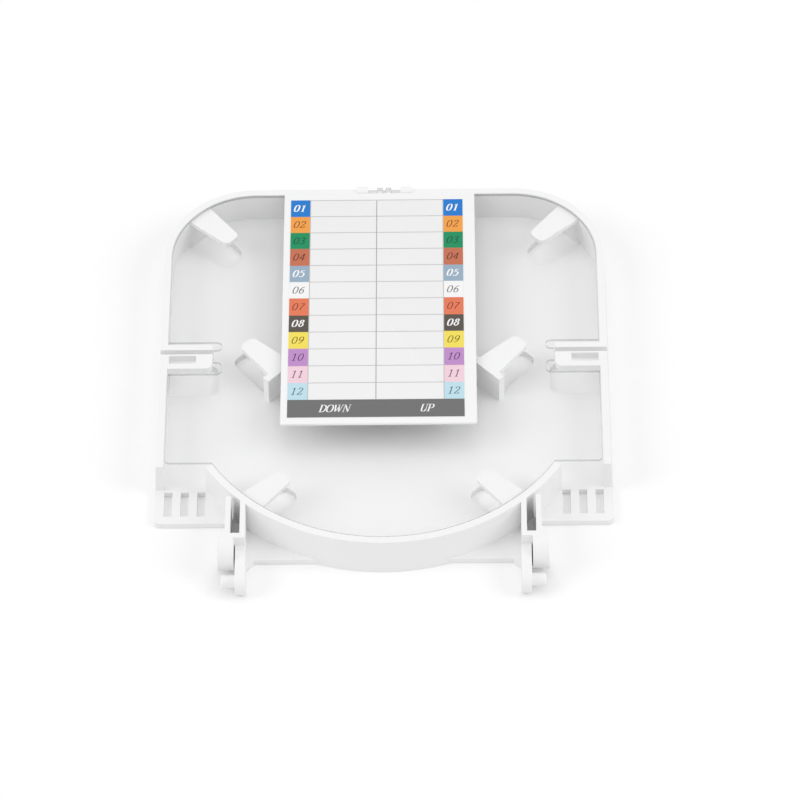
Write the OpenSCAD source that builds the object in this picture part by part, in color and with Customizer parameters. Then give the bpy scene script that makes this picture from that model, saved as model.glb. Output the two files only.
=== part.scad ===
// Fibre splice tray: one white moulding with a clear hinged cover.
// The origin is the centre of the round front wall, on the underside.
// +X is to the right, +Y to the rear and +Z up. All sizes are in millimetres.

/* [Tray walls] */
// Half of the width over the side walls, at the rim
half_w = 74.1; // [70:0.1:90]
// From the centre of the front wall to the outside of the rear wall
rear_y = 85.4; // [80:0.1:110]
// From the centre of the front wall forward to the ends of the side walls
side_front = 36.3; // [30:0.1:40]
// Outer radius of the rear corners, as wide as the fibre's smallest bend
corner_r = 30.4; // [20:0.1:40]
// Outer radius of the round front wall, at the rim
arc_r = 68.4; // [60:0.1:69]
// Angle at which the front wall stops, below the X axis
arc_end = 32.3; // [30:0.1:40]
// Thickness of the walls at the rim
wall = 2.4; // [1.6:0.1:3]
// How much the outside of the walls leans out from rim to underside
draft = 0.8; // [0:0.1:1.2]
// Height of the rim above the underside
rim_z = 14.2; // [12:0.1:20]
// Thickness of the floor
floor_t = 2.2; // [1.6:0.1:3]

/* [Tabs over the fibre] */
// Length of the tabs in the rear corners
corner_tab_l = 16.5; // [8:0.1:20]
// Length of the tabs on the guide walls
guide_tab_l = 15.4; // [8:0.1:18]
// Length of the tabs on the front wall
front_tab_l = 15.9; // [8:0.1:20]
// Width of a tab at its root
tab_root_w = 9.3; // [7:0.1:12]
// Width of a tab at its end
tab_tip_w = 6.3; // [4:0.1:7]
// Radius on the corners of a tab's end
tab_tip_r = 2; // [0.5:0.1:2]
// Thickness of the tabs
tab_t = 1.6; // [1:0.1:2.5]
// From the front wall tabs' middle line to the centre of the front wall
front_tab_side = 4.9; // [0:0.1:15]
// From the corner tabs' middle line to the corner's diagonal
corner_tab_side = 0.9; // [0:0.1:3]
// Clearance on each side of a guide or front wall tab in its floor opening
tab_relief = 0.8; // [0.4:0.1:1.5]
// Clearance on each side of a corner tab in its floor opening
corner_relief = 2; // [0.4:0.1:2.5]
// Straight part at the end of a floor opening
opening_flat = 1.6; // [0.4:0.1:3]
// Floor opening beyond the end of a corner tab
corner_reach = 1; // [0.5:0.1:4]
// Floor opening beyond the end of a guide wall tab
guide_reach = 3.7; // [0.5:0.1:4]
// Floor opening beyond the end of a front wall tab
front_reach = 2.6; // [0.5:0.1:4]

/* [Guide walls] */
// Distance of a guide wall's outer face from the centre, the bend radius
guide_r = 30; // [28:0.1:34]
// From the guide tab's middle line to the guide wall's front end
guide_front = 6.9; // [5:0.1:10]
// From the guide tab's middle line to the guide wall's hidden end
guide_back = 9.5; // [5:0.1:11]
// From the guide tab's middle line to the tray's diagonal
guide_side = 19.5; // [18:0.1:22]

/* [Latch stations] */
// How far a station reaches in from the outside of the side wall
station_w = 17.3; // [12:0.1:20]
// Front face of the latch plate
latch_y = 5.7; // [2:0.1:20]
// Width of the latch plate, front to rear
latch_l = 6.25; // [5:0.05:10]
// Radius on the latch plate's inner front corner
latch_r = 2.2; // [0.5:0.1:3]
// Width of the slit behind the latch plate
slit_w = 1.85; // [1:0.05:3]
// Depth of the slit through the side wall
slit_h = 8; // [4:0.1:11]
// Width of the rib behind the slit
rib_w = 2.2; // [1.5:0.1:4]
// Thickness of the latch plate and the rib
station_t = 2.7; // [1.5:0.1:4]
// Window in the latch plate, side to side
window_w = 9; // [5:0.1:12]
// Window in the latch plate, front to rear
window_l = 3.3; // [1.5:0.1:4]
// Plate left behind the window
window_back = 0.65; // [0.4:0.05:1.5]
// Floor opening beyond the latch plate and rib, on the three free sides
station_relief = 1.6; // [0.5:0.1:4]
// Radius on the floor opening's corners
station_hole_r = 2.7; // [1:0.1:4]

/* [Cable tie plates] */
// From the centre of the front wall forward to the plates' front edge
tie_front = 50.4; // [45:0.1:56]
// Radius on the plates' outer front corners
tie_corner_r = 2; // [0.5:0.1:4]
// Number of slots in each plate
tie_slots = 3; // [1:1:3]
// Width of a cable tie slot
tie_slot_w = 2.65; // [2:0.05:4]
// Length of a cable tie slot
tie_slot_l = 10; // [6:0.1:11]
// Distance from one slot to the next
tie_pitch = 5.4; // [5:0.1:6]
// From the middle of the outermost slot to the outside of the side wall
tie_inset = 3.6; // [3:0.1:5]
// Plate left in front of the slots
tie_edge = 3.1; // [2:0.1:4]

/* [Pivot brackets] */
// Inner face of the pocket between the bracket's two ribs, from the middle
pocket_x = 46.3; // [40:0.1:48]
// Width of the pocket
pocket_w = 3; // [2:0.1:4]
// Thickness of the bracket's ribs
bracket_rib = 1.75; // [1.2:0.05:2.5]
// From the centre of the front wall forward to the front of the cross bar
bracket_front = 65.7; // [60:0.1:72]
// Thickness of the cross bar in front of the pocket
bracket_bar = 1.9; // [1.2:0.1:3]
// How far the knuckle's flare stands out from the outer rib
flare = 2.3; // [1:0.1:4]
// Width of the half-round knuckle
knuckle_w = 5.2; // [4:0.1:8]
// Radius of the half-round knuckle
knuckle_r = 6.6; // [5:0.1:7]
// Height of the arm's top face
arm_top = 10.1; // [8:0.1:12]
// Length of the arm's flat top face in front of the cross bar
arm_l = 8.7; // [6:0.1:14]
// Width of the arm
arm_w = 3.3; // [2:0.1:4]
// Radius of the arm's round end
arm_end_r = 4.4; // [3:0.1:5]
// From the cross bar's front face forward to the pivot pin's axis
pin_reach = 10.3; // [9:0.1:16]
// Radius of the pivot pin
pin_r = 2.1; // [1.5:0.05:3]
// Length of the pivot pin outside the arm
pin_l = 4.8; // [4:0.1:8]
// Rounding on the pivot pin's end
pin_tip_r = 1; // [0.3:0.1:1.4]
// From the middle to where the front ledge's straight edge ends
ledge_x = 42; // [38:0.1:43]
// Length of the ledge in front of the cross bar, beside the arm
ledge_l = 2.8; // [0:0.1:5]

/* [Cover] */
// Thickness of the clear cover
cover_t = 1; // [0.8:0.1:2]
// Gap between the cover's edge and the walls
cover_gap = 0.3; // [0.2:0.05:0.6]
// Gap between the cover and the tabs that it rests on
cover_lift = 0.2; // [0.1:0.05:0.5]
// From the centre of the front wall forward to the cover's front edges
cover_front = 34.5; // [31:0.1:36]
// Radius on the cover's front corners
cover_corner_r = 1.5; // [0.5:0.1:3]
// Clearance around the latch stations, in the cover
cover_relief = 0.3; // [0.2:0.05:1]
// How far the rounded ends of the cover's side notches reach past them
notch_reach = 2.8; // [0:0.1:4]
// Width of the notches' rear bar, front to rear
notch_rear_l = 3.4; // [2.5:0.1:4.5]
// Width of the notches' front bar, front to rear
notch_front_l = 5; // [3:0.1:6]

/* [Cover hinge] */
// Half of the gap between the tray's two hinge ears
ear_x = 5.5; // [4:0.1:8]
// Width of a hinge ear
ear_w = 3.8; // [2:0.1:6]
// Radius of a hinge ear
ear_r = 1.8; // [1.5:0.05:2]
// Height of the hinge axis above the cover's underside
hinge_rise = 0.2; // [0:0.05:0.5]
// Radius of the cover's hinge axle
axle_r = 0.7; // [0.5:0.05:0.9]
// Running clearance of the axle in the ears, on the radius
axle_play = 0.06; // [0.02:0.01:0.1]
// How far the axle enters each ear
axle_in = 3.2; // [1:0.1:3.6]
// Inner face of each cover knuckle, from the middle
hook_x = 0.5; // [0.3:0.1:1]
// Width of each cover knuckle
hook_w = 1.9; // [1:0.1:3]
// Radius of each cover knuckle
hook_r = 1.5; // [1.2:0.05:1.7]
// Clearance below the cover knuckles in the rear wall
hook_relief = 0.5; // [0.3:0.1:1]

/* [Label] */
// Width of the label card
card_w = 64.6; // [50:0.1:90]
// Length of the label card, back to the cover's rear edge
card_l = 102; // [80:0.1:110]
// Thickness of the label card
card_t = 1; // [0.5:0.1:2]
// How far the card lies to the left of the middle
card_left = 1.6; // [0:0.1:3]
// Width of the printed sheet
sheet_w = 58.3; // [40:0.1:60]
// Length of the printed sheet
sheet_l = 96.2; // [70:0.1:98]
// How far the sheet lies to the left of the card's middle
sheet_left = 0.9; // [0:0.1:2]
// Card left in front of the sheet
sheet_front = 2.6; // [1:0.1:5]
// Thickness of the printed sheet
sheet_t = 0.2; // [0.1:0.05:0.4]

/* [Splice combs] */
// Number of splice channels in each comb
channels = 12; // [4:1:13]
// Width of a channel, for a heat shrink sleeve
channel_w = 3; // [2:0.1:3.5]
// Thickness of the comb's teeth
tooth_t = 1.5; // [0.8:0.1:2]
// Height of the teeth above the comb's base, for two sleeves
tooth_h = 6.6; // [3:0.1:7]
// Thickness of the comb's base
comb_base = 1.4; // [1:0.1:2]
// Width of a comb, along the sleeves
comb_w = 10; // [6:0.1:14]
// Distance from one comb's middle to the other's
comb_spread = 34; // [24:0.1:40]
// From the centre of the front wall rearward to the combs' front end
comb_front = 14; // [8:0.1:20]
// Radius of the pegs under a comb
peg_r = 1.6; // [1:0.05:2]
// Clearance of a peg in the floor, on the radius
peg_play = 0.05; // [0.02:0.01:0.1]
// From the comb's ends to its pegs
peg_inset = 8; // [4:0.1:20]
// How far the pegs stop above the underside
peg_short = 0.4; // [0.2:0.1:1]

/* [Hidden] */
$fn = 96;
eps = 0.01;
through = 1;

// Places on the tray
inner_x = half_w - wall;
inner_y = rear_y - wall;
base_x = half_w + draft;
corner_x = half_w - corner_r;
corner_y = rear_y - corner_r;
corner_in = corner_r - wall;
arc_in = arc_r - wall;
tab_z = rim_z - cover_t - cover_lift - tab_t;
guide_in = guide_r - wall;
front_tab_root = sqrt(arc_in * arc_in - front_tab_side * front_tab_side);

// Latch stations
station_x = half_w - station_w;
slit_y = latch_y + latch_l;
rib_y = slit_y + slit_w;
station_rear = rib_y + rib_w;
station_z = rim_z - station_t;
window_x = inner_x - window_w - 0.5;
window_y = slit_y - window_back - window_l;

// Tie plates
tie_y = -tie_front + tie_edge;
tie_x = half_w - tie_inset;

// Pivot brackets
rib_in = pocket_x - bracket_rib;
pocket_out = pocket_x + pocket_w;
rib_out = pocket_out + bracket_rib;
bar_y = -bracket_front + bracket_bar;
knuckle_out = rib_out + flare;
knuckle_in = knuckle_out - knuckle_w;
knuckle_z = rim_z - knuckle_r;
arm_in = rib_in - 0.1;
arm_out = arm_in + arm_w;
pin_y = -bracket_front - pin_reach;
pin_z = arm_end_r;

// Arm's slope: the tangent from the end of its top face to the round end
slope_y = -bracket_front - arm_l - pin_y;
slope_z = arm_top - pin_z;
slope_turn = atan2(slope_z, slope_y) + acos(arm_end_r / norm([slope_y, slope_z]));

// Cover and hinge
cover_z = rim_z - cover_t;
hinge_y = inner_y + ear_r;
hinge_z = cover_z + hinge_rise;
notch_z = hinge_z - hook_r - hook_relief;

// Label and combs
card_y = inner_y - cover_gap - card_l;
sheet_x = -card_left - sheet_left - sheet_w / 2;
comb_pitch = channel_w + tooth_t;
comb_l = channels * comb_pitch + tooth_t;
peg_ys = [peg_inset, comb_l - peg_inset];

// Both sides of the tray
module both_sides() {
    children();
    mirror([1, 0, 0]) children();
}

// Section of a wall: X is outward from the rim's outer edge, Y is height
module wall_section() {
    polygon([[-wall, 0], [draft, 0], [0, rim_z], [-wall, rim_z]]);
}

// Tongue along +X from a root at X = 0, with a round-cornered end
module tongue(l, root_w, tip_w, tip_r) {
    polygon([
        [-wall / 2, -root_w / 2],
        [l - tip_r, -tip_w / 2],
        [l - tip_r, tip_w / 2],
        [-wall / 2, root_w / 2]
    ]);
    translate([l - tip_r - eps, -tip_w / 2 + tip_r])
        square([tip_r + eps, tip_w - 2 * tip_r]);
    for (side = [-1, 1])
        translate([l - tip_r, side * (tip_w / 2 - tip_r)]) circle(tip_r);
}

// Place a tongue in a rear corner, pointing at the corner's centre
module at_corner_tab() {
    translate([corner_x, corner_y]) rotate(45)
        translate([corner_in, corner_tab_side]) rotate(180) children();
}

// Place a tongue on a guide wall, pointing out and to the rear
module at_guide_tab() {
    rotate(45) translate([guide_r, -guide_side]) children();
}

// Place a tongue on the front wall, pointing in and to the rear
module at_front_tab() {
    rotate(45) translate([-front_tab_side, -front_tab_root]) rotate(90) children();
}

// One of the tabs that keep the fibre down and carry the cover
module tab(l) {
    translate([0, 0, tab_z]) linear_extrude(tab_t)
        tongue(l, tab_root_w, tab_tip_w, tab_tip_r);
}

// Opening in the floor under a tab
module tab_opening(l, reach, relief) {
    opening_r = tab_tip_w / 2 + relief - opening_flat / 2;
    translate([0, 0, -through]) linear_extrude(floor_t + 2 * through)
        intersection() {
            tongue(
                l + reach,
                tab_root_w + 2 * relief,
                tab_tip_w + 2 * relief,
                opening_r
            );
            translate([eps, -tab_root_w]) square([l + reach, 2 * tab_root_w]);
        }
}

// Straight and round walls around the tray
module walls() {
    both_sides() {
        translate([half_w, -side_front]) mirror([0, 1, 0]) rotate([90, 0, 0])
            linear_extrude(side_front + corner_y) wall_section();
        translate([corner_x, corner_y]) rotate_extrude(angle = 90)
            translate([corner_r, 0]) wall_section();
    }
    translate([-corner_x, rear_y]) rotate([90, 0, 90])
        linear_extrude(2 * corner_x) wall_section();
    rotate(180 + arc_end) rotate_extrude(angle = 180 - 2 * arc_end)
        translate([arc_r, 0]) wall_section();
}

// Outline of the floor inside the walls and under the tie plates
module floor_outline() {
    translate([-half_w, -side_front]) square([2 * half_w, side_front + corner_y]);
    translate([-corner_x, corner_y - eps]) square([2 * corner_x, corner_r + eps]);
    circle(arc_r);
    both_sides() {
        translate([corner_x, corner_y]) circle(corner_r);
        tie_plate_outline();
    }
}

// Outline of one cable tie plate, with a round outer front corner
module tie_plate_outline() {
    translate([pocket_x, -tie_front])
        square([base_x - tie_corner_r - pocket_x, tie_front - side_front + eps]);
    translate([pocket_x, -tie_front + tie_corner_r])
        square([base_x - pocket_x, tie_front - side_front - tie_corner_r + eps]);
    translate([base_x - tie_corner_r, -tie_front + tie_corner_r]) circle(tie_corner_r);
}

// Outline of the ledge between one bracket and the front wall
module ledge_outline() {
    polygon([
        [0, -arc_in],
        [0, -bracket_front],
        [ledge_x, -bracket_front],
        [arm_in, -bracket_front - ledge_l],
        [arm_out, -bracket_front - ledge_l],
        [rib_out, -bracket_front + eps],
        [rib_out, -tie_front],
        [rib_in, -side_front]
    ]);
}

// Slots that a cable tie passes through
module tie_openings() {
    for (i = [0 : tie_slots - 1])
        translate([tie_x - i * tie_pitch - tie_slot_w / 2, tie_y, -through])
            cube([tie_slot_w, tie_slot_l, floor_t + 2 * through]);
}

// Opening in the floor under a latch station
module station_opening() {
    x0 = station_x - station_relief;
    y0 = latch_y - station_relief;
    y1 = station_rear + station_relief / 2;
    r = station_hole_r;
    translate([0, 0, -through]) linear_extrude(floor_t + 2 * through) {
        translate([x0 + r, y0]) square([inner_x - x0 - r, y1 - y0]);
        translate([x0, y0 + r]) square([r + eps, y1 - y0 - 2 * r]);
        for (y = [y0 + r, y1 - r])
            translate([x0 + r, y]) circle(r);
    }
}

// Latch plate and rib that stand out from the side wall at the rim
module station() {
    root_x = half_w - wall / 2;
    translate([0, 0, station_z]) {
        difference() {
            linear_extrude(station_t) {
                translate([station_x + latch_r, latch_y])
                    square([root_x - station_x - latch_r, latch_l]);
                translate([station_x, latch_y + latch_r])
                    square([latch_r + eps, latch_l - latch_r]);
                translate([station_x + latch_r, latch_y + latch_r]) circle(latch_r);
            }
            translate([window_x, window_y, -through])
                cube([window_w, window_l, station_t + 2 * through]);
        }
        translate([station_x, rib_y, 0]) cube([root_x - station_x, rib_w, station_t]);
    }
}

// Slit through the side wall beside the latch plate
module station_slit() {
    translate([station_x, slit_y, rim_z - slit_h])
        cube([station_w + draft + through, slit_w, slit_h + through]);
}

// Side view of the arm that carries the pivot pin: X is Y, Y is height
module arm_profile() {
    polygon([
        [-bracket_front + bracket_bar, 0],
        [-bracket_front + bracket_bar, arm_top],
        [-bracket_front - arm_l, arm_top],
        [pin_y + arm_end_r * cos(slope_turn), pin_z + arm_end_r * sin(slope_turn)],
        [pin_y, pin_z],
        [pin_y, 0]
    ]);
    translate([pin_y, pin_z]) circle(arm_end_r);
}

// Ribs, cross bar, knuckle, arm and pivot pin on one side
module bracket() {
    wall_y = -sqrt(arc_in * arc_in - rib_in * rib_in);
    rib_l = bracket_front + wall_y;
    difference() {
        translate([rib_in, -bracket_front, 0]) cube([rib_out - rib_in, rib_l, rim_z]);
        translate([pocket_x, bar_y, floor_t])
            cube([pocket_w, rib_l, rim_z]);
        translate([0, 0, -through]) cylinder(r = arc_in, h = rim_z + 2 * through);
    }
    linear_extrude(rim_z)
        polygon([
            [rib_out - eps, -bracket_front + 1.8 * flare],
            [knuckle_out, -bracket_front],
            [rib_out - eps, -bracket_front]
        ]);
    translate([knuckle_in, -bracket_front, 0]) {
        translate([0, 0, knuckle_z]) rotate([0, 90, 0])
            intersection() {
                cylinder(r = knuckle_r, h = knuckle_w);
                translate([-knuckle_r, -knuckle_r, 0])
                    cube([2 * knuckle_r, knuckle_r + eps, knuckle_w]);
            }
    }
    translate([arm_in, 0, 0]) rotate([90, 0, 90]) linear_extrude(arm_w) arm_profile();
    translate([arm_out - eps, pin_y, pin_z]) rotate([0, 90, 0]) pivot_pin();
}

// Pivot pin with a rounded end, along +Z
module pivot_pin() {
    rotate_extrude() {
        square([pin_r, pin_l - pin_tip_r]);
        square([pin_r - pin_tip_r, pin_l]);
        intersection() {
            translate([pin_r - pin_tip_r, pin_l - pin_tip_r]) circle(pin_tip_r);
            square([pin_r, pin_l]);
        }
    }
}

// Ears on the rear wall that hold the cover's axle
module hinge_ears() {
    both_sides()
        translate([ear_x, hinge_y, hinge_z]) rotate([0, 90, 0]) {
            cylinder(r = ear_r, h = ear_w);
            translate([0, -ear_r, 0]) cube([ear_r + wall, 2 * ear_r - draft, ear_w]);
        }
}

// Bores for the axle and the notch for the cover's knuckles
module hinge_cuts() {
    both_sides()
        translate([ear_x - eps, hinge_y, hinge_z]) rotate([0, 90, 0])
            cylinder(r = axle_r + axle_play, h = ear_w + 2 * eps);
    translate([-ear_x, inner_y - through, notch_z])
        cube([2 * ear_x, wall + draft + 2 * through, rim_z]);
}

// Holes in the floor for the combs' pegs
module peg_holes() {
    for (side = [-1, 1], y = peg_ys)
        translate([side * comb_spread / 2, comb_front + y, -through])
            cylinder(r = peg_r + peg_play, h = floor_t + 2 * through);
}

// The tray, moulded in one piece
module tray_body() {
    color("white") difference() {
        union() {
            walls();
            linear_extrude(floor_t) {
                floor_outline();
                both_sides() ledge_outline();
            }
            both_sides() {
                at_corner_tab() tab(corner_tab_l);
                at_guide_tab() tab(guide_tab_l);
                at_front_tab() tab(front_tab_l);
                at_guide_tab() translate([-wall, -guide_front, 0])
                    cube([wall, guide_front + guide_back, rim_z - cover_t - cover_lift]);
                station();
                bracket();
            }
            hinge_ears();
        }
        both_sides() {
            at_corner_tab() tab_opening(corner_tab_l, corner_reach, corner_relief);
            at_guide_tab() tab_opening(guide_tab_l, guide_reach, tab_relief);
            at_front_tab() tab_opening(front_tab_l, front_reach, tab_relief);
            station_opening();
            station_slit();
            tie_openings();
        }
        hinge_cuts();
        peg_holes();
    }
}

// A comb that grips one end of the splice sleeves
module splice_comb() {
    translate([-comb_w / 2, comb_front, floor_t]) {
        cube([comb_w, comb_l, comb_base]);
        for (i = [0 : channels])
            translate([0, i * comb_pitch, comb_base - eps])
                cube([comb_w, tooth_t, tooth_h + eps]);
    }
    for (y = peg_ys)
        translate([0, comb_front + y, peg_short])
            cylinder(r = peg_r, h = floor_t - peg_short + eps);
}

module splice_comb_left() {
    color("whitesmoke") translate([-comb_spread / 2, 0, 0]) splice_comb();
}

module splice_comb_right() {
    color("whitesmoke") translate([comb_spread / 2, 0, 0]) splice_comb();
}

// Notch in the cover around one latch station
module cover_notch() {
    x0 = station_x - cover_relief;
    rear = station_rear + cover_relief + 0.9;
    front = latch_y - cover_relief - 1.9;
    translate([x0, front]) square([half_w - x0, rear - front]);
    for (bar = [[rear - notch_rear_l, notch_rear_l], [front, notch_front_l]]) {
        r = notch_rear_l / 2;
        translate([x0 - notch_reach + r, bar[0]]) square([notch_reach, bar[1]]);
        translate([x0 - notch_reach, bar[0] + r]) square([r, max(eps, bar[1] - 2 * r)]);
        for (y = [bar[0] + r, bar[0] + bar[1] - r])
            translate([x0 - notch_reach + r, y]) circle(r);
    }
}

// Outline of the cover: inside the walls, with straight front edges
module cover_outline() {
    side_x = inner_x - cover_gap;
    rear = inner_y - cover_gap;
    in_r = corner_in - cover_gap;
    front_r = arc_in - cover_gap;
    r = cover_corner_r;
    corner_at = side_x - r;
    difference() {
        union() {
            translate([-side_x, -cover_front + r])
                square([2 * side_x, cover_front - r + corner_y]);
            translate([-corner_at, -cover_front]) square([2 * corner_at, cover_front]);
            translate([-corner_x, corner_y - eps])
                square([2 * corner_x, rear - corner_y + eps]);
            circle(front_r);
            both_sides() {
                translate([corner_x, corner_y]) circle(in_r);
                translate([corner_at, -cover_front + r]) circle(r);
            }
        }
        both_sides() cover_notch();
    }
}

// Clear cover with its knuckles and hinge axle
module clear_cover() {
    arm_y = hinge_y - inner_y + cover_gap + 1;
    color("lightcyan", 0.4) {
        translate([0, 0, cover_z]) linear_extrude(cover_t) cover_outline();
        both_sides() {
            translate([hook_x, hinge_y - arm_y, cover_z]) cube([hook_w, arm_y, cover_t]);
            translate([hook_x, hinge_y, hinge_z]) rotate([0, 90, 0])
                cylinder(r = hook_r, h = hook_w);
        }
        translate([-ear_x - axle_in, hinge_y, hinge_z]) rotate([0, 90, 0])
            cylinder(r = axle_r, h = 2 * (ear_x + axle_in));
    }
}

// White card fixed on the cover
module label_card() {
    color("white") translate([-card_left - card_w / 2, card_y, rim_z])
        cube([card_w, card_l, card_t]);
}

// Printed sheet on the card
module label_sheet() {
    color("gainsboro") translate([sheet_x, card_y + sheet_front, rim_z + card_t])
        cube([sheet_w, sheet_l, sheet_t]);
}

tray_body();
splice_comb_left();
splice_comb_right();
clear_cover();
label_card();
label_sheet();
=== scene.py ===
import math

import bmesh
import bpy
from mathutils import Matrix, Vector


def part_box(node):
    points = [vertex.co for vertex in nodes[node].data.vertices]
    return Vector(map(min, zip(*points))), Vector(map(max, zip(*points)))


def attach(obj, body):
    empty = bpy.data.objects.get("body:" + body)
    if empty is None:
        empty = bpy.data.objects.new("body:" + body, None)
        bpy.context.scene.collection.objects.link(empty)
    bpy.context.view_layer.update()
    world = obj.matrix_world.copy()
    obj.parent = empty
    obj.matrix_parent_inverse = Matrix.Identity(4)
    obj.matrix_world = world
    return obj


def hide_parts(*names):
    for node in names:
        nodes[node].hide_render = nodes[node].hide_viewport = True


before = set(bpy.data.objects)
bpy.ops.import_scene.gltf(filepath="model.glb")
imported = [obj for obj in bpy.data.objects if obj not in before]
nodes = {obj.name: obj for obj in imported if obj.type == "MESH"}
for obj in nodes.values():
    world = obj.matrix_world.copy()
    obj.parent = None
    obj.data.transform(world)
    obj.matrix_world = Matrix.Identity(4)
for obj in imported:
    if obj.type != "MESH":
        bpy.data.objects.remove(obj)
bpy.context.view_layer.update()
mm = 0.001
print("frame loaded:", len(nodes), "solids")


def hexColour(text):
    # sRGB hex to linear RGBA
    parts = [int(text[i:i + 2], 16) / 255 for i in (1, 3, 5)]
    linear = [c / 12.92 if c <= 0.04045 else ((c + 0.055) / 1.055) ** 2.4 for c in parts]
    return (*linear, 1.0)


def addNode(tree, kind, settings=None, inputs=None):
    # inputs may be plain values or another node's output socket
    node = tree.nodes.new(kind)
    for name, value in (settings or {}).items():
        setattr(node, name, value)
    for name, value in (inputs or {}).items():
        if isinstance(value, bpy.types.NodeSocket):
            tree.links.new(value, node.inputs[name])
        else:
            node.inputs[name].default_value = value
    return node


def startMaterial(name):
    material = bpy.data.materials.new(name)
    material.use_nodes = True
    material.node_tree.nodes.clear()
    return material, material.node_tree


def meshObject(name, bm, material=None):
    mesh = bpy.data.meshes.new(name)
    bm.to_mesh(mesh)
    bm.free()
    piece = bpy.data.objects.new(name, mesh)
    bpy.context.scene.collection.objects.link(piece)
    if material:
        mesh.materials.append(material)
    return piece


def smoothFaces(piece, sharpAngle):
    piece.data.polygons.foreach_set("use_smooth", [True] * len(piece.data.polygons))
    piece.data.set_sharp_from_angle(angle=math.radians(sharpAngle))


def fit(piece, body, replaced=()):
    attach(piece, body)
    if replaced:
        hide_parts(*replaced)


view = {
    "place": (21.9, -1039.7, 1243.2),  # mm, about 1.6 m away and 50 degrees up
    "right": (0.999914, 0.000370, -0.013103),
    "up": (0.008138, 0.766113, 0.642654),
    "lens": 219.474,
    "sensor": 36.0,
    "clip": (0.05, 100),  # m
}


def makeCamera():
    right = Vector(view["right"]).normalized()
    up = Vector(view["up"])
    back = right.cross(up).normalized()
    up = back.cross(right)
    turn = Matrix((right, up, back)).transposed().to_4x4()
    data = bpy.data.cameras.new("camera")
    data.lens = view["lens"]
    data.sensor_width = view["sensor"]
    data.clip_start, data.clip_end = view["clip"]
    camera = bpy.data.objects.new("camera", data)
    bpy.context.scene.collection.objects.link(camera)
    camera.matrix_world = Matrix.Translation(Vector(view["place"]) * mm) @ turn
    bpy.context.scene.camera = camera


makeCamera()
print("camera set")


# What all the moulded and calendered plastics share. Real eroded grain is finer than a tenth of
# a millimetre, so it is drawn coarser here to show. Sizes and depth are in mm.
grainLook = {"low": 0.3, "high": 0.7, "smoother": 0.04, "rougher": 0.05, "depth": 0.03,
             "flowDetail": 2.0, "flowBlend": 0.4, "detail": 3.0, "blend": 0.6}


def mouldedPlastic(name, look):
    # base colour drifts faintly over the part, and a fine eroded grain breaks up the sheen
    material, tree = startMaterial(name)
    place = addNode(tree, "ShaderNodeTexCoord").outputs["Object"]
    flow = addNode(tree, "ShaderNodeTexNoise", None, {
        "Vector": place, "Scale": 1 / (look["flowSize"] * mm),
        "Detail": grainLook["flowDetail"], "Roughness": grainLook["flowBlend"]})
    grain = addNode(tree, "ShaderNodeTexNoise", None, {
        "Vector": place, "Scale": 1 / (look["grainSize"] * mm),
        "Detail": grainLook["detail"], "Roughness": grainLook["blend"]})
    tint = addNode(tree, "ShaderNodeMix", {"data_type": "RGBA"}, {"Factor": flow.outputs["Fac"]})
    tint.inputs[6].default_value = hexColour(look["colour"])
    tint.inputs[7].default_value = hexColour(look["drift"])
    gloss = addNode(tree, "ShaderNodeMapRange", None, {
        "Value": grain.outputs["Fac"], "From Min": grainLook["low"], "From Max": grainLook["high"],
        "To Min": look["roughness"] - grainLook["smoother"],
        "To Max": look["roughness"] + grainLook["rougher"]})
    bump = addNode(tree, "ShaderNodeBump", None, {
        "Strength": look["bump"], "Distance": grainLook["depth"] * mm,
        "Height": grain.outputs["Fac"]})
    shader = addNode(tree, "ShaderNodeBsdfPrincipled", None, {
        "Base Color": tint.outputs[2], "Roughness": gloss.outputs["Result"],
        "IOR": look["ior"], "Normal": bump.outputs["Normal"]})
    addNode(tree, "ShaderNodeOutputMaterial", None, {"Surface": shader.outputs["BSDF"]})
    return material


# White ABS, injection moulded in an eroded tool: an even satin white with soft highlights
trayAbs = mouldedPlastic("satinMouldedAbs", {
    "colour": "#f8f8f8", "drift": "#f5f5f6", "flowSize": 30, "grainSize": 0.45,
    "roughness": 0.42, "bump": 0.12, "ior": 1.53})
# Softer white polypropylene of the splice combs: a touch warmer and more matt
combPolypropylene = mouldedPlastic("mattMouldedPolypropylene", {
    "colour": "#ecebe8", "drift": "#e7e6e3", "flowSize": 14, "grainSize": 0.5,
    "roughness": 0.5, "bump": 0.15, "ior": 1.49})
# White foamed PVC sheet of the label card, calendered: smooth, low sheen
cardPvc = mouldedPlastic("calenderedWhitePvc", {
    "colour": "#f9f9f9", "drift": "#f6f6f7", "flowSize": 40, "grainSize": 0.8,
    "roughness": 0.38, "bump": 0.05, "ior": 1.52})
# White matt label film that takes the print
labelFilm = mouldedPlastic("mattLabelFilm", {
    "colour": "#f3f3f3", "drift": "#f1f1f1", "flowSize": 20, "grainSize": 0.3,
    "roughness": 0.55, "bump": 0.08, "ior": 1.5})


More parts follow.
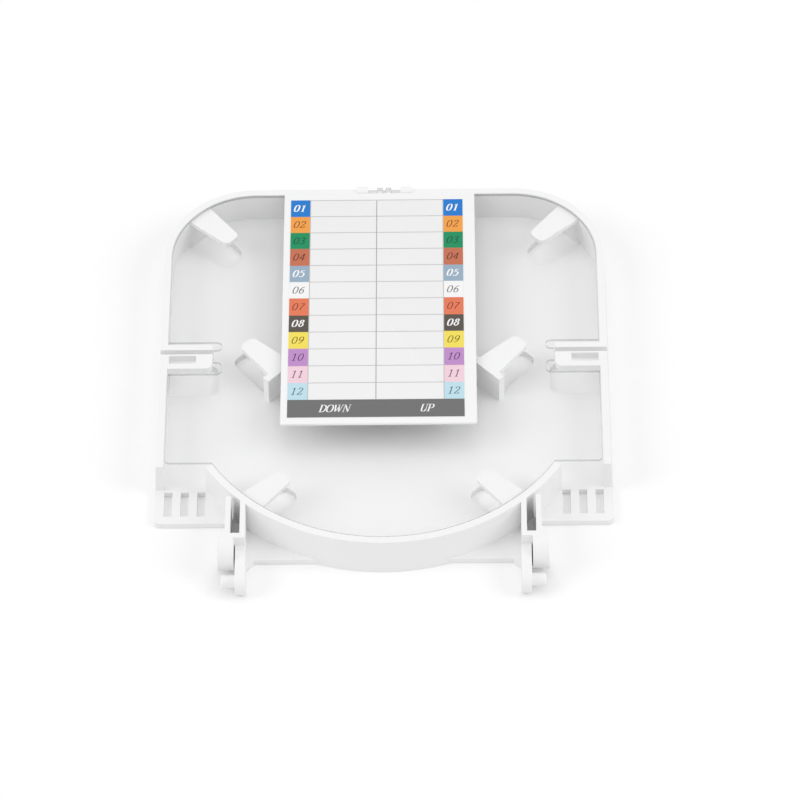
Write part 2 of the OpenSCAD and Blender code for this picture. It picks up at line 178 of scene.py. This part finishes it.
def clearSheetMaterial(name, look):
    # A polished face is seen through; a cut edge is painted as a grey line, a painted shade
    # standing in for the darkness that refraction gives it
    material, tree = startMaterial(name)
    place = addNode(tree, "ShaderNodeTexCoord")
    axes = addNode(tree, "ShaderNodeSeparateXYZ", None, {"Vector": place.outputs["Normal"]})
    upright = addNode(tree, "ShaderNodeMath", {"operation": "ABSOLUTE"}, {0: axes.outputs["Z"]})
    edge = addNode(tree, "ShaderNodeMapRange", {"interpolation_type": "SMOOTHSTEP"}, {
        "Value": upright.outputs[0], "From Min": look["edgeSlope"], "From Max": look["faceSlope"],
        "To Min": look["edgeShadeCover"], "To Max": look["faceCover"]})
    scuff = addNode(tree, "ShaderNodeTexNoise", None, {
        "Vector": place.outputs["Object"], "Scale": 1 / (look["scuffSize"] * mm),
        "Detail": look["scuffDetail"]})
    haze = addNode(tree, "ShaderNodeMapRange", None, {
        "Value": scuff.outputs["Fac"], "From Min": look["scuffLow"], "From Max": look["scuffHigh"],
        "To Min": look["roughness"], "To Max": look["roughness"] + look["scuffHaze"]})
    through = addNode(tree, "ShaderNodeBsdfTransparent", None, {"Color": hexColour(look["tint"])})
    mirror = addNode(tree, "ShaderNodeBsdfGlossy", None, {
        "Color": hexColour("#ffffff"), "Roughness": haze.outputs["Result"]})
    fresnel = addNode(tree, "ShaderNodeFresnel", None, {"IOR": look["ior"]})
    # only the side that faces the ray mirrors, so the sheet has no false reflection inside
    side = addNode(tree, "ShaderNodeNewGeometry")
    outer = addNode(tree, "ShaderNodeMath", {"operation": "SUBTRACT"}, {
        0: 1.0, 1: side.outputs["Backfacing"]})
    sheen = addNode(tree, "ShaderNodeMath", {"operation": "MULTIPLY"}, {
        0: fresnel.outputs["Fac"], 1: outer.outputs[0]})
    face = addNode(tree, "ShaderNodeMixShader", None, {
        0: sheen.outputs[0], 1: through.outputs[0], 2: mirror.outputs[0]})
    # painted shade: an opaque grey on the upright cut edges stands in for their refraction darkness
    paintedEdgeShade = addNode(tree, "ShaderNodeBsdfPrincipled", None, {
        "Base Color": hexColour(look["edgeShadeColour"]), "Roughness": look["edgeRoughness"],
        "IOR": look["edgeIor"]})
    both = addNode(tree, "ShaderNodeMixShader", None, {
        0: edge.outputs["Result"], 1: face.outputs[0], 2: paintedEdgeShade.outputs[0]})
    addNode(tree, "ShaderNodeOutputMaterial", None, {"Surface": both.outputs[0]})
    return material


# Clear polycarbonate sheet with polished faces and cut edges; painted grey shade on the cut edges
# makes only its outline show plainly
clearPolycarbonate = clearSheetMaterial("clearPolycarbonateSheet", {
    "tint": "#ffffff", "edgeShadeColour": "#85898b", "edgeShadeCover": 0.36, "faceCover": 0.0,
    "edgeRoughness": 0.25, "edgeIor": 1.49, "edgeSlope": 0.5, "faceSlope": 0.9,
    "scuffSize": 6, "scuffDetail": 4.0, "scuffLow": 0.35, "scuffHigh": 0.75, "scuffHaze": 0.05,
    "roughness": 0.03, "ior": 1.15})  # lower than the resin's own, for the thin sheet's faint sheen
print("materials made")


def roundedCopy(name, node, edge, material):
    # a merged copy of a solid with its sharp edges rolled over by a small radius
    bm = bmesh.new()
    bm.from_mesh(nodes[node].data)
    bmesh.ops.remove_doubles(bm, verts=bm.verts, dist=edge["merge"] * mm)
    bmesh.ops.dissolve_limit(bm, angle_limit=math.radians(edge["flat"]), verts=bm.verts,
                             edges=bm.edges)
    for face in bm.faces:
        face.material_index = 0
    piece = meshObject(name, bm, material)
    smoothFaces(piece, edge["sharp"])
    bevel = piece.modifiers.new("edgeRadius", "BEVEL")
    bevel.width = edge["radius"] * mm
    bevel.segments = edge["segments"]
    bevel.limit_method = "ANGLE"
    bevel.angle_limit = math.radians(edge["sharp"])
    bevel.use_clamp_overlap = True
    level = piece.modifiers.new("levelFaces", "WEIGHTED_NORMAL")
    level.keep_sharp = False
    level.weight = edge["levelWeight"]
    return piece


# merge distance and radius in mm, flat and sharp angles in degrees
trayEdges = {"merge": 0.001, "flat": 0.3, "sharp": 32, "radius": 0.22, "segments": 2,
             "levelWeight": 100}
tray = roundedCopy("trayShell", "tray_body", trayEdges, trayAbs)
fit(tray, "tray", ["tray_body"])

coverEdges = {"merge": 0.001, "flat": 0.3, "sharp": 32, "radius": 0.1, "segments": 1,
              "levelWeight": 100}
cover = roundedCopy("coverSheet", "clear_cover", coverEdges, clearPolycarbonate)
fit(cover, "cover", ["clear_cover"])
print("tray and cover dressed")


def startTree(name, sockets):
    # sockets: input name -> socket kind
    tree = bpy.data.node_groups.new(name, "GeometryNodeTree")
    for socket, kind in sockets.items():
        tree.interface.new_socket(socket, in_out="INPUT", socket_type="NodeSocket" + kind)
    tree.interface.new_socket("Geometry", in_out="OUTPUT", socket_type="NodeSocketGeometry")
    return tree, tree.nodes.new("NodeGroupInput").outputs


def endTree(tree, geometry, material):
    real = addNode(tree, "GeometryNodeRealizeInstances", None, {"Geometry": geometry})
    painted = addNode(tree, "GeometryNodeSetMaterial", None, {
        "Geometry": real.outputs[0], "Material": material})
    addNode(tree, "NodeGroupOutput", None, {"Geometry": painted.outputs[0]})


weldDistance = 1e-7  # m


def growPiece(name, tree, values):
    # runs the tree on an empty host and keeps its result as a plain mesh
    host = meshObject(name + "Host", bmesh.new())
    modifier = host.modifiers.new("grow", "NODES")
    modifier.node_group = tree
    for item in tree.interface.items_tree:
        if item.in_out == "INPUT":
            modifier[item.identifier] = values[item.name]
    graph = bpy.context.evaluated_depsgraph_get()
    mesh = bpy.data.meshes.new_from_object(host.evaluated_get(graph))
    bpy.data.objects.remove(host)
    bm = bmesh.new()
    bm.from_mesh(mesh)
    bmesh.ops.remove_doubles(bm, verts=bm.verts, dist=weldDistance)
    bmesh.ops.recalc_face_normals(bm, faces=bm.faces)
    bm.to_mesh(mesh)
    bm.free()
    mesh.name = name
    piece = bpy.data.objects.new(name, mesh)
    bpy.context.scene.collection.objects.link(piece)
    return piece


comb = {
    "teeth": 13,
    "toothThickness": 1.5,  # mm, as the heights and the radius are
    "baseHeight": 1.4,
    "floorHeight": 2.2,
    "tipRadius": 0.65,
    "cornerSteps": 5,
    "sharpAngle": 35,  # degrees
}


def roundedBar(tree, across, height, line, radius):
    # a bar of rounded section swept along the line, with closed ends
    outline = addNode(tree, "GeometryNodeCurvePrimitiveQuadrilateral", None, {
        "Width": across, "Height": height})
    soft = addNode(tree, "GeometryNodeFilletCurve", {"mode": "POLY"}, {
        "Curve": outline.outputs[0], "Radius": radius, "Count": comb["cornerSteps"],
        "Limit Radius": True})
    bar = addNode(tree, "GeometryNodeCurveToMesh", None, {
        "Curve": line, "Profile Curve": soft.outputs[0], "Fill Caps": True})
    return bar.outputs[0]


def combTree():
    tree, given = startTree("spliceCombTree", {
        "Teeth": "Int", "Tooth Step": "Vector", "Tooth Thickness": "Float", "Tooth Height": "Float",
        "Comb Width": "Vector", "Base Height": "Float", "Base Length": "Float",
        "Tip Radius": "Float", "Tooth Start": "Vector", "Base Centre": "Vector",
        "Plastic": "Material"})
    line = addNode(tree, "GeometryNodeCurvePrimitiveLine", None, {"End": given["Comb Width"]})
    tooth = roundedBar(tree, given["Tooth Thickness"], given["Tooth Height"], line.outputs[0],
                       given["Tip Radius"])
    base = roundedBar(tree, given["Base Length"], given["Base Height"], line.outputs[0],
                      given["Tip Radius"])
    points = addNode(tree, "GeometryNodeMeshLine", {"mode": "OFFSET"}, {
        "Count": given["Teeth"], "Offset": given["Tooth Step"],
        "Start Location": given["Tooth Start"]})
    row = addNode(tree, "GeometryNodeInstanceOnPoints", None, {
        "Points": points.outputs[0], "Instance": tooth})
    placed = addNode(tree, "GeometryNodeTransform", None, {
        "Geometry": base, "Translation": given["Base Centre"]})
    joined = addNode(tree, "GeometryNodeJoinGeometry")
    for part in (placed.outputs[0], row.outputs[0]):
        tree.links.new(part, joined.inputs[0])
    endTree(tree, joined.outputs[0], given["Plastic"])
    return tree


def makeCombs():
    tree = combTree()
    for side in ("left", "right"):
        node = "splice_comb_" + side
        low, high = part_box(node)
        size = high - low
        floor = comb["floorHeight"] * mm
        thickness = comb["toothThickness"] * mm
        baseHeight = comb["baseHeight"] * mm
        step = (size.y - thickness) / (comb["teeth"] - 1)
        toothHeight = high.z - floor
        piece = growPiece("spliceComb" + side.title(), tree, {
            "Teeth": comb["teeth"],
            "Tooth Step": (0, step, 0),
            "Tooth Thickness": thickness,
            "Tooth Height": toothHeight,
            "Comb Width": (size.x, 0, 0),
            "Base Height": baseHeight,
            "Base Length": size.y,
            "Tip Radius": comb["tipRadius"] * mm,
            "Tooth Start": (low.x, low.y + thickness / 2, floor + toothHeight / 2),
            "Base Centre": (low.x, (low.y + high.y) / 2, floor + baseHeight / 2),
            "Plastic": combPolypropylene,
        })
        smoothFaces(piece, comb["sharpAngle"])
        fit(piece, "tray", [node])


makeCombs()
print("splice combs made")


# lengths in mm, angles in degrees; a profile of one half makes a round corner
roundProfile = 0.5
card = {"lift": 0.03, "cornerRadius": 0.6, "cornerSegments": 6, "edgeRadius": 0.15,
        "segments": 3, "sharpAngle": 35}
film = {"printDepth": 0.06, "cornerRadius": 0.25, "cornerSegments": 6, "edgeRadius": 0.03,
        "segments": 2, "sharpAngle": 35}
rimAngle = 1.2  # radians; steeper edges are the rims of a plate


def softPlate(name, low, high, look, material):
    # a flat sheet with rounded corners and a rolled edge
    bm = bmesh.new()
    bmesh.ops.create_cube(bm, size=1.0)
    size, centre = high - low, (high + low) / 2
    bmesh.ops.scale(bm, vec=size, verts=bm.verts)
    bmesh.ops.translate(bm, vec=centre, verts=bm.verts)
    upright = [e for e in bm.edges if abs(e.verts[0].co.z - e.verts[1].co.z) > size.z / 2]
    bmesh.ops.bevel(bm, geom=upright, offset=look["cornerRadius"] * mm,
                    segments=look["cornerSegments"], profile=roundProfile, affect="EDGES")
    flat = [e for e in bm.edges if e.calc_face_angle(0) > rimAngle]
    bmesh.ops.bevel(bm, geom=flat, offset=look["edgeRadius"] * mm, segments=look["segments"],
                    profile=roundProfile, affect="EDGES")
    bmesh.ops.recalc_face_normals(bm, faces=bm.faces)
    piece = meshObject(name, bm, material)
    smoothFaces(piece, look["sharpAngle"])
    return piece


cardLow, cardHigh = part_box("label_card")
cardLow.z += card["lift"] * mm  # keeps its back clear of the sheet's polished face
labelCard = softPlate("labelCard", cardLow, cardHigh, card, cardPvc)
fit(labelCard, "cover", ["label_card"])

filmLow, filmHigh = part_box("label_sheet")
filmTop = filmHigh.z - film["printDepth"] * mm  # the print lies between this and the solid's top
labelSheet = softPlate("labelFilm", filmLow, Vector((filmHigh.x, filmHigh.y, filmTop)), film,
                       labelFilm)
fit(labelSheet, "cover", ["label_sheet"])
print("label card and film made")


# The twelve fibre colours of a standard bundle, and the ink of the number on each
label = {
    "rows": 12,  # the rest is in mm, down to the colours
    "rowPitch": 7.3875,
    "tabWidth": 6.55,
    "inkDepth": 0.03,
    "sideDepth": 0.9,  # of the ink's depth, so that crossing lines don't share a face
    "centreDepth": 1.1,
    "lineWidth": 0.28,
    "centreX": -2.5,
    "tabColours": ("#1e7dd2", "#f5a54b", "#14915f", "#c87355", "#9bb2c6", "#fafafa",
                   "#e87d5a", "#5a524b", "#f8e45f", "#c391cd", "#f7d5e1", "#c3e4f0"),
    "numberColours": ("#ffffff", "#7a2f1c", "#123c34", "#5e2428", "#ffffff", "#565656",
                      "#7d3028", "#ffffff", "#6b5620", "#5c2a5c", "#6f4a66", "#46626f"),
    "line": "#c4c4c4",
    "centreLine": "#a8a8a8",
    "footer": "#727272",
    "words": "#ffffff",
}


def rowInk(name, colours, look):
    # one ink for each row, picked by the row that the surface lies in
    material, tree = startMaterial(name)
    place = addNode(tree, "ShaderNodeTexCoord").outputs["Object"]
    axes = addNode(tree, "ShaderNodeSeparateXYZ", None, {"Vector": place})
    top = filmHigh.y
    length = label["rows"] * label["rowPitch"] * mm
    # the share of the way down the rows, from 0 at their top to 1 at their foot
    share = addNode(tree, "ShaderNodeMapRange", None, {
        "Value": axes.outputs["Y"], "From Min": top, "From Max": top - length,
        "To Min": 0.0, "To Max": 1.0})
    ramp = addNode(tree, "ShaderNodeValToRGB", None, {"Fac": share.outputs["Result"]})
    ramp.color_ramp.interpolation = "CONSTANT"
    stops = ramp.color_ramp.elements
    while len(stops) < len(colours):
        stops.new(1.0)  # all are placed below
    for i in range(len(colours)):
        stops[i].position = i / len(colours)
    for i, colour in enumerate(colours):
        stops[i].color = hexColour(colour)
    finishInk(tree, place, ramp.outputs["Color"], look)
    return material


def finishInk(tree, place, colour, look):
    # screen printed ink: tiny changes of density over the film's own grain
    spread = addNode(tree, "ShaderNodeTexNoise", None, {
        "Vector": place, "Scale": 1 / (look["spreadSize"] * mm), "Detail": look["detail"]})
    density = addNode(tree, "ShaderNodeMapRange", None, {
        "Value": spread.outputs["Fac"], "From Min": look["low"], "From Max": look["high"],
        "To Min": 1 - look["spread"], "To Max": 1.0})
    tone = addNode(tree, "ShaderNodeHueSaturation", None, {
        "Color": colour, "Value": density.outputs["Result"]})
    bump = addNode(tree, "ShaderNodeBump", None, {
        "Strength": look["bump"], "Distance": look["bumpDepth"] * mm,
        "Height": spread.outputs["Fac"]})
    shader = addNode(tree, "ShaderNodeBsdfPrincipled", None, {
        "Base Color": tone.outputs["Color"], "Roughness": look["roughness"], "IOR": look["ior"],
        "Specular IOR Level": look["specular"], "Normal": bump.outputs["Normal"]})
    addNode(tree, "ShaderNodeOutputMaterial", None, {"Surface": shader.outputs["BSDF"]})


def plainInk(name, colour, look):
    material, tree = startMaterial(name)
    place = addNode(tree, "ShaderNodeTexCoord").outputs["Object"]
    finishInk(tree, place, hexColour(colour), look)
    return material


# Screen printed ink on matt film: flat strong colour with hardly any shine. Its mottle is finer
# than half a millimetre in truth and is drawn coarser to show.
inkLook = {"spreadSize": 0.5, "detail": 3.0, "spread": 0.05, "low": 0.3, "high": 0.7,
           "roughness": 0.5, "bump": 0.08, "bumpDepth": 0.01, "ior": 1.48, "specular": 0.3}
tabInk = rowInk("screenPrintedTabInk", label["tabColours"], inkLook)
numberInk = rowInk("screenPrintedNumberInk", label["numberColours"], inkLook)
lineInk = plainInk("screenPrintedLineInk", label["line"], inkLook)
centreInk = plainInk("screenPrintedCentreInk", label["centreLine"], inkLook)
footerInk = plainInk("screenPrintedFooterInk", label["footer"], inkLook)
wordInk = plainInk("screenPrintedWordInk", label["words"], inkLook)


def gridTree():
    # one flat field of ink repeated along the columns and down the rows
    tree, given = startTree("printedGridTree", {
        "Rows": "Int", "Columns": "Int", "Row Step": "Vector", "Column Step": "Vector",
        "Field Size": "Vector", "First Centre": "Vector", "Ink": "Material"})
    field = addNode(tree, "GeometryNodeMeshCube", None, {"Size": given["Field Size"]})
    columns = addNode(tree, "GeometryNodeMeshLine", {"mode": "OFFSET"}, {
        "Count": given["Columns"], "Offset": given["Column Step"],
        "Start Location": given["First Centre"]})
    across = addNode(tree, "GeometryNodeInstanceOnPoints", None, {
        "Points": columns.outputs[0], "Instance": field.outputs[0]})
    rows = addNode(tree, "GeometryNodeMeshLine", {"mode": "OFFSET"}, {
        "Count": given["Rows"], "Offset": given["Row Step"]})
    down = addNode(tree, "GeometryNodeInstanceOnPoints", None, {
        "Points": rows.outputs[0], "Instance": across.outputs[0]})
    endTree(tree, down.outputs[0], given["Ink"])
    return tree


def makePrint():
    tree = gridTree()
    pitch, tab, line = (label[k] * mm for k in ("rowPitch", "tabWidth", "lineWidth"))
    ink = label["inkDepth"] * mm
    z = filmTop + ink / 2
    left, right, top = filmLow.x, filmHigh.x, filmHigh.y
    bottom = top - label["rows"] * pitch
    rowStep = (0, -pitch, 0)
    fieldX, fieldY = (left + right) / 2, (top + bottom) / 2
    noStep = (0, 0, 0)
    sideInk, centreInkDepth = ink * label["sideDepth"], ink * label["centreDepth"]
    jobs = {
        "rowTabs": (label["rows"], 2, rowStep, (right - left - tab, 0, 0), (tab, pitch, ink),
                    (left + tab / 2, top - pitch / 2, z), tabInk),
        "rowLines": (label["rows"], 1, rowStep, noStep, (right - left - 2 * tab, line, ink),
                     (fieldX, top - line / 2, z), lineInk),
        "tabSides": (1, 2, rowStep, (right - left - 2 * tab - line, 0, 0),
                     (line, top - bottom, sideInk), (left + tab + line / 2, fieldY, z), lineInk),
        "centreLine": (1, 1, rowStep, noStep, (line, top - bottom - 2 * line, centreInkDepth),
                       (label["centreX"] * mm, fieldY - line / 2, z), centreInk),
        "footerBand": (1, 1, rowStep, noStep, (right - left, bottom - filmLow.y, ink),
                       (fieldX, (bottom + filmLow.y) / 2, z), footerInk),
    }
    names = ("Rows", "Columns", "Row Step", "Column Step", "Field Size", "First Centre", "Ink")
    for name, job in jobs.items():
        piece = growPiece(name, tree, dict(zip(names, job)))
        fit(piece, "cover")


makePrint()
print("label grid printed")


# Pen paths of an italic serif face, on a unit height. A path that ends with "o" is closed,
# one that ends with "c" is a smooth open curve, "s" has straight runs and "t" is a thin straight.
penPaths = {
    "0": ["0.3,0.96 0.46,0.86 0.53,0.5 0.46,0.14 0.3,0.04 0.14,0.14 0.07,0.5 0.14,0.86 o"],
    "1": ["0.14,0.8 0.33,0.93 s", "0.32,0.98 0.32,0.04 s", "0.16,0.03 0.48,0.03 s"],
    "2": ["0.09,0.74 0.16,0.92 0.3,0.96 0.46,0.86 0.46,0.66 0.3,0.38 0.08,0.06 c",
          "0.07,0.06 0.5,0.06 s", "0.5,0.05 0.54,0.22 s"],
    "3": ["0.11,0.8 0.2,0.93 0.34,0.95 0.45,0.78 0.38,0.6 0.22,0.53 c",
          "0.22,0.53 0.42,0.46 0.5,0.27 0.4,0.07 0.22,0.03 0.08,0.14 c"],
    "4": ["0.4,0.97 0.4,0.04 s", "0.38,0.93 0.05,0.32 s", "0.04,0.3 0.55,0.3 s"],
    "5": ["0.18,0.93 0.52,0.93 s", "0.19,0.93 0.15,0.55 s",
          "0.15,0.55 0.3,0.61 0.46,0.5 0.49,0.26 0.36,0.05 0.2,0.03 0.08,0.12 c"],
    "6": ["0.5,0.94 0.3,0.86 0.14,0.62 0.09,0.32 0.16,0.1 0.3,0.04 0.44,0.1 0.5,0.3 0.42,0.52 "
          "0.28,0.55 0.15,0.42 c"],
    "7": ["0.09,0.92 0.53,0.92 s", "0.52,0.92 0.36,0.55 0.26,0.3 0.24,0.03 c"],
    "8": ["0.31,0.96 0.44,0.88 0.46,0.74 0.31,0.54 0.15,0.72 0.18,0.88 o",
          "0.3,0.53 0.47,0.44 0.5,0.26 0.3,0.04 0.1,0.24 0.14,0.43 o"],
    "9": ["0.1,0.06 0.3,0.14 0.46,0.38 0.51,0.68 0.44,0.9 0.3,0.96 0.16,0.9 0.1,0.7 0.18,0.48 "
          "0.32,0.45 0.45,0.58 c"],
    "D": ["0.16,0.04 0.16,0.96 s", "0.02,0.03 0.3,0.03 s", "0.02,0.97 0.3,0.97 s",
          "0.28,0.97 0.5,0.9 0.64,0.68 0.64,0.38 0.5,0.1 0.28,0.03 c"],
    "O": ["0.36,0.97 0.58,0.86 0.67,0.5 0.58,0.14 0.36,0.03 0.14,0.14 0.05,0.5 0.14,0.86 o"],
    "W": ["0.1,0.97 0.26,0.03 s", "0.28,0.03 0.5,0.88 t", "0.46,0.97 0.62,0.03 s",
          "0.64,0.03 0.86,0.95 t", "0,0.97 0.2,0.97 t", "0.38,0.97 0.56,0.97 t",
          "0.76,0.97 0.94,0.97 t"],
    "N": ["0.12,0.03 0.12,0.97 t", "0.14,0.97 0.6,0.03 s", "0.62,0.03 0.62,0.97 t",
          "0.02,0.03 0.23,0.03 t", "0.02,0.97 0.2,0.97 t", "0.52,0.97 0.73,0.97 t"],
    "U": ["0.14,0.97 0.14,0.3 s", "0.14,0.3 0.2,0.08 0.36,0.03 0.5,0.08 0.58,0.3 c",
          "0.58,0.3 0.58,0.97 t", "0.02,0.97 0.28,0.97 t", "0.48,0.97 0.7,0.97 t"],
    "P": ["0.16,0.03 0.16,0.97 s", "0.02,0.03 0.3,0.03 s", "0.02,0.97 0.3,0.97 s",
          "0.28,0.97 0.48,0.94 0.57,0.73 0.48,0.5 0.2,0.46 c"],
}
lettering = {
    "numberHeight": 3.15,  # mm
    "numberStep": 0.68,  # of the height, as the other widths are
    "slant": 0.28,
    "middle": 0.5,  # of the unit height, about which the letters lean
    "thin": 0.055,
    "lightThick": 0.1,
    "boldThick": 0.17,
    "wordThick": 0.15,
    "swellPower": 1.5,  # higher keeps the pen thin over more of a curve
    "curveSteps": 5,
    "depth": 0.5,  # of the ink below
    "boldRows": (1, 5, 8),
    "wordHeight": 3.2,
    "wordSpace": 0.02,
    "letterWidths": {"D": 0.7, "O": 0.72, "W": 0.94, "N": 0.74, "U": 0.7, "P": 0.62},
    "wordCentres": {"DOWN": -15.9, "UP": 14.4},  # mm
}


def smoothPath(points, closed):
    # Catmull-Rom through the points
    count, steps = len(points), lettering["curveSteps"]
    spans = count if closed else count - 1
    path = []
    for i in range(spans):
        around = []
        for k in (i - 1, i, i + 1, i + 2):
            around.append(points[k % count] if closed else points[min(max(k, 0), count - 1)])
        a, b, c, d = around
        for s in range(steps):
            t = s / steps
            path.append(0.5 * (2 * b + (c - a) * t + (2 * a - 5 * b + 4 * c - d) * t * t
                               + (3 * b - a - 3 * c + d) * t ** 3))
    if not closed:
        path.append(points[-1])
    return path


def penStroke(bm, text, place, thick):
    # a broad pen: upright runs come out thick and level runs thin
    *pairs, kind = text.split()
    points = [Vector([float(v) for v in pair.split(",")]) for pair in pairs]
    closed = kind == "o"
    path = points if kind in "st" else smoothPath(points, closed)
    count = len(path)
    rings = []
    for i, p in enumerate(path):
        before = path[i - 1] if closed or i else p
        after = path[(i + 1) % count] if closed or i < count - 1 else p
        run = (after - before).normalized()
        swell = 0 if kind == "t" else abs(run.y) ** lettering["swellPower"]
        width = lettering["thin"] + (thick - lettering["thin"]) * swell
        side = Vector((-run.y, run.x)) * width / 2
        corners = []
        for q in (p + side, p - side):
            for layer in (0, 1):
                corners.append(bm.verts.new(place(q, layer)))
        rings.append(corners)
    last = count if closed else count - 1
    for i in range(last):
        a, b = rings[i], rings[(i + 1) % count]
        for j, k in ((0, 1), (1, 3), (3, 2), (2, 0)):
            bm.faces.new((a[j], a[k], b[k], b[j]))
    if not closed:
        for ring in (rings[0], rings[-1]):
            bm.faces.new((ring[0], ring[1], ring[3], ring[2]))


def write(bm, letters, widths, height, centreX, centreY, thick, base, depth):
    # a line of letters about its centre, leaning over by the slant
    pen = -sum(widths) / 2

    def place(q, layer):
        y = q.y - lettering["middle"]
        x = pen + q.x + lettering["slant"] * y
        return (centreX + x * height, centreY + y * height, base + layer * depth)

    for letter, width in zip(letters, widths):
        for path in penPaths[letter]:
            penStroke(bm, path, place, thick)
        pen += width


def makeLettering():
    pitch, tab = label["rowPitch"] * mm, label["tabWidth"] * mm
    base = filmTop + label["inkDepth"] * mm
    depth = lettering["depth"] * label["inkDepth"] * mm
    numbers = bmesh.new()
    for row in range(1, label["rows"] + 1):
        thick = lettering["boldThick"] if row in lettering["boldRows"] else lettering["lightThick"]
        for x in (filmLow.x + tab / 2, filmHigh.x - tab / 2):
            write(numbers, f"{row:02d}", [lettering["numberStep"]] * 2,
                  lettering["numberHeight"] * mm, x, filmHigh.y - (row - 0.5) * pitch, thick,
                  base, depth)
    words = bmesh.new()
    footerY = (filmLow.y + filmHigh.y - label["rows"] * pitch) / 2
    for word, x in lettering["wordCentres"].items():
        widths = [lettering["letterWidths"][c] + lettering["wordSpace"] for c in word]
        write(words, word, widths, lettering["wordHeight"] * mm, x * mm, footerY,
              lettering["wordThick"], base, depth)
    for name, bm, ink in (("rowNumbers", numbers, numberInk), ("footerWords", words, wordInk)):
        bmesh.ops.recalc_face_normals(bm, faces=bm.faces)
        fit(meshObject(name, bm, ink), "cover")


makeLettering()
print("numbers and words printed")


room = {
    "floorSize": 40.0,  # m
    "floorGap": 0.05,  # mm below the tray's underside
    "floorColour": "#ffffff",
    "bounceColour": "#f6f6f6",
    "floorLift": 0.02,
    "skyColour": "#ffffff",
    "skyStrength": 0.70,
    "backdropStrength": 1.0,
    # place (m), size (m) and power (W) of each softbox
    "softboxes": {
        "leftSoftbox": ((-1.6, -0.3, 1.3), 1.2, 8.5),
        "rightSoftbox": ((1.6, -0.3, 1.3), 1.2, 8.5),
        "topSoftbox": ((0.0, 0.5, 2.3), 1.4, 4.0),
    },
}


def makeFloor():
    # white to the camera, slightly duller to the light that it throws back at the tray
    material, tree = startMaterial("paleFloor")
    seen = addNode(tree, "ShaderNodeLightPath").outputs["Is Camera Ray"]
    tone = addNode(tree, "ShaderNodeMix", {"data_type": "RGBA"}, {"Factor": seen})
    tone.inputs[6].default_value = hexColour(room["bounceColour"])
    tone.inputs[7].default_value = hexColour(room["floorColour"])
    soft = addNode(tree, "ShaderNodeBsdfDiffuse", None, {"Color": tone.outputs[2]})
    lift = addNode(tree, "ShaderNodeMath", {"operation": "MULTIPLY"}, {
        0: seen, 1: room["floorLift"]})
    glow = addNode(tree, "ShaderNodeEmission", None, {
        "Color": hexColour(room["floorColour"]), "Strength": lift.outputs[0]})
    lifted = addNode(tree, "ShaderNodeAddShader", None, {0: soft.outputs[0], 1: glow.outputs[0]})
    addNode(tree, "ShaderNodeOutputMaterial", None, {"Surface": lifted.outputs[0]})
    bm = bmesh.new()
    bmesh.ops.create_grid(bm, x_segments=1, y_segments=1, size=room["floorSize"] / 2)
    bmesh.ops.translate(bm, vec=(0, 0, -room["floorGap"] * mm), verts=bm.verts)
    meshObject("floor", bm, material)


def makeSky():
    # white where it is seen or mirrored, and weaker as a light
    world = bpy.data.worlds.new("softRoom")
    bpy.context.scene.world = world
    world.use_nodes = True
    sky = world.node_tree
    sky.nodes.clear()
    path = addNode(sky, "ShaderNodeLightPath")
    seen = addNode(sky, "ShaderNodeMath", {"operation": "MAXIMUM"}, {
        0: path.outputs["Is Camera Ray"], 1: path.outputs["Is Glossy Ray"]})
    through = addNode(sky, "ShaderNodeMath", {"operation": "MAXIMUM"}, {
        0: seen.outputs[0], 1: path.outputs["Is Transmission Ray"]})
    light = addNode(sky, "ShaderNodeBackground", None, {
        "Color": hexColour(room["skyColour"]), "Strength": room["skyStrength"]})
    backdrop = addNode(sky, "ShaderNodeBackground", None, {
        "Color": hexColour(room["skyColour"]), "Strength": room["backdropStrength"]})
    mixed = addNode(sky, "ShaderNodeMixShader", None, {
        0: through.outputs[0], 1: light.outputs[0], 2: backdrop.outputs[0]})
    addNode(sky, "ShaderNodeOutputWorld", None, {"Surface": mixed.outputs[0]})


def makeSoftboxes():
    for name, (place, size, power) in room["softboxes"].items():
        lamp = bpy.data.lights.new(name, "AREA")
        lamp.size = size
        lamp.energy = power
        holder = bpy.data.objects.new(name, lamp)
        bpy.context.scene.collection.objects.link(holder)
        holder.location = place
        holder.rotation_euler = (-Vector(place)).to_track_quat("-Z", "Y").to_euler()


makeFloor()
makeSky()
makeSoftboxes()
bpy.context.scene.view_settings.view_transform = "Standard"
print("room lit")
